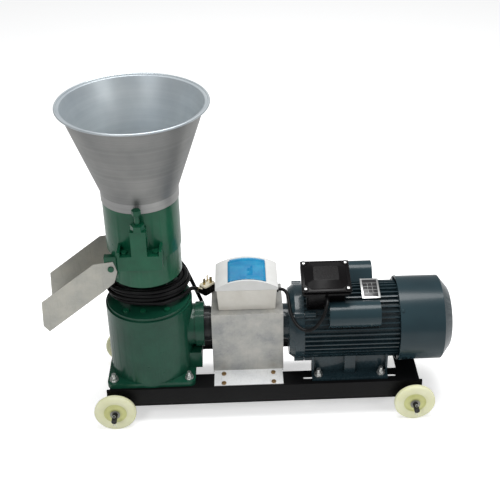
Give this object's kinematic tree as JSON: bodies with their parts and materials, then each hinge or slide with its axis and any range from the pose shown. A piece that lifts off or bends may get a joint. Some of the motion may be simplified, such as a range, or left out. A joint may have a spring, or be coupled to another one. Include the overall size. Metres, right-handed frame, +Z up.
{
  "type": "feed pellet mill",
  "caption": "Flat-die feed pellet mill on a wheeled frame, with hopper, discharge chute, bevel gearbox, guarded coupling, motor and mains lead.",
  "frame": {"origin": "on the floor under the middle of the machine's length and width", "axes": "+X along the frame from the chute to the motor's fan cover, -Y to the operator's side, +Z up"},
  "size_m": [0.9834, 0.33, 0.8006],
  "materials": {
    "frame_black": "satin",
    "casting_green": "gloss",
    "motor_teal": "gloss",
    "black_moulding": "satin",
    "box_beige": "satin",
    "flap_blue": "gloss",
    "toggle_blue": "gloss",
    "wheel_cream": "satin",
    "galvanised": "mottled",
    "hopper_steel": "brushed",
    "zinc_steel": "plated",
    "machined_steel": "machined",
    "dark_steel": "oiled",
    "die_blue": "satin",
    "bronze": "machined",
    "plated_brass": "passivated",
    "winding_copper": "varnished",
    "cord_black": "matt",
    "breaker_white": "satin",
    "capacitor_grey": "satin"
  },
  "bodies": {
    "frame": {"base_frame": "frame_black", "wheel_axles": "frame_black", "wheel_retainers": "zinc_steel", "gearbox_housing": "casting_green", "gearbox_cover": "casting_green", "gearbox_cover_bolts": "casting_green", "gearbox_hold_down_bolts": "zinc_steel", "input_bearing_housing": "casting_green", "input_bearing_cap": "motor_teal", "shaft_bearings": "machined_steel", "shaft_seals": "black_moulding", "coupling_guard": "galvanised", "guard_bolts": "plated_brass", "switch_box_tray": "box_beige", "switch_box_cover": "box_beige", "circuit_breaker": "breaker_white", "cable_glands": "black_moulding", "motor_frame": "motor_teal", "drive_end_shield": "motor_teal", "fan_end_shield": "motor_teal", "stator": "winding_copper", "fan_cover": "motor_teal", "terminal_box": "black_moulding", "terminal_box_lid": "black_moulding", "capacitor_covers": "motor_teal", "capacitors": "capacitor_grey", "motor_screws": "zinc_steel", "die_chamber": "casting_green", "roller_housing": "casting_green", "housing_bolts": "casting_green", "hopper": "hopper_steel", "discharge_chute": "galvanised", "mains_winding": "cord_black", "mains_lead_plug_end": "cord_black", "mains_lead_box_end": "cord_black", "mains_plug": "cord_black", "motor_lead": "cord_black"},
    "drive_line": {"rotor_shaft": "machined_steel", "cooling_fan": "black_moulding", "motor_coupling_half": "dark_steel", "coupling_pins": "machined_steel", "gearbox_coupling_half": "dark_steel", "pinion_shaft": "machined_steel"},
    "press_shaft": {"main_shaft": "machined_steel", "bevel_gear": "machined_steel", "discharge_disc": "machined_steel", "flat_die": "die_blue", "die_nut": "machined_steel"},
    "roller_carrier": {"roller_shaft": "machined_steel", "roller_bushes": "bronze"},
    "front_roller": {"front_roller": "machined_steel"},
    "rear_roller": {"rear_roller": "machined_steel"},
    "front_adjusting_bolt": {"front_adjusting_bolt": "casting_green"},
    "rear_adjusting_bolt": {"rear_adjusting_bolt": "casting_green"},
    "front_left_wheel": {"wheel_front_left": "wheel_cream"},
    "front_right_wheel": {"wheel_front_right": "wheel_cream"},
    "rear_left_wheel": {"wheel_rear_left": "wheel_cream"},
    "rear_right_wheel": {"wheel_rear_right": "wheel_cream"},
    "switch_flap": {"switch_flap": "flap_blue"},
    "breaker_toggle": {"breaker_toggle": "toggle_blue"}
  },
  "joints": [
    {"name": "drive_turn", "type": "hinge", "parent": "frame", "child": "drive_line", "pos_m": [0, 0, 0.211], "axis": [1, 0, 0], "continuous": true},
    {"name": "press_turn", "type": "hinge", "parent": "frame", "child": "press_shaft", "pos_m": [-0.24927, 0, 0.3], "axis": [0, 0, 1], "continuous": true},
    {"name": "roller_lift", "type": "slide", "parent": "frame", "child": "roller_carrier", "axis": [0, 0, 1], "range_m": [0, 0.004]},
    {"name": "front_roller_turn", "type": "hinge", "parent": "roller_carrier", "child": "front_roller", "pos_m": [-0.24927, -0.051, 0.5055], "axis": [0, 1, 0], "continuous": true},
    {"name": "rear_roller_turn", "type": "hinge", "parent": "roller_carrier", "child": "rear_roller", "pos_m": [-0.24927, 0.051, 0.5055], "axis": [0, 1, 0], "continuous": true},
    {"name": "front_adjuster_turn", "type": "hinge", "parent": "roller_carrier", "child": "front_adjusting_bolt", "pos_m": [-0.24927, -0.1, 0.55], "axis": [0, 0, 1], "range_deg": [0, 823]},
    {"name": "rear_adjuster_turn", "type": "hinge", "parent": "roller_carrier", "child": "rear_adjusting_bolt", "pos_m": [-0.24927, 0.1, 0.55], "axis": [0, 0, 1], "range_deg": [0, 823]},
    {"name": "front_left_wheel_turn", "type": "hinge", "parent": "frame", "child": "front_left_wheel", "pos_m": [-0.33727, -0.1215, 0.05], "axis": [0, 1, 0], "continuous": true},
    {"name": "front_right_wheel_turn", "type": "hinge", "parent": "frame", "child": "front_right_wheel", "pos_m": [0.38472, -0.1215, 0.05], "axis": [0, 1, 0], "continuous": true},
    {"name": "rear_left_wheel_turn", "type": "hinge", "parent": "frame", "child": "rear_left_wheel", "pos_m": [-0.33727, 0.1215, 0.05], "axis": [0, 1, 0], "continuous": true},
    {"name": "rear_right_wheel_turn", "type": "hinge", "parent": "frame", "child": "rear_right_wheel", "pos_m": [0.38472, 0.1215, 0.05], "axis": [0, 1, 0], "continuous": true},
    {"name": "flap_swing", "type": "hinge", "parent": "frame", "child": "switch_flap", "pos_m": [-0.05828, 0.02, 0.34441], "axis": [0, -1, 0], "range_deg": [0, 100]},
    {"name": "toggle_throw", "type": "hinge", "parent": "frame", "child": "breaker_toggle", "pos_m": [-0.00827, 0.029, 0.332], "axis": [0, 1, 0], "range_deg": [-40, 0]}
  ],
  "couplings": [
    {"joint": "press_turn", "follows": "drive_turn", "ratio": 0.33333},
    {"joint": "front_roller_turn", "follows": "drive_turn", "ratio": -0.56667},
    {"joint": "rear_roller_turn", "follows": "drive_turn", "ratio": 0.56667},
    {"joint": "front_adjuster_turn", "follows": "roller_lift", "rad_per_m": 3590.4},
    {"joint": "rear_adjuster_turn", "follows": "roller_lift", "rad_per_m": 3590.4}
  ]
}
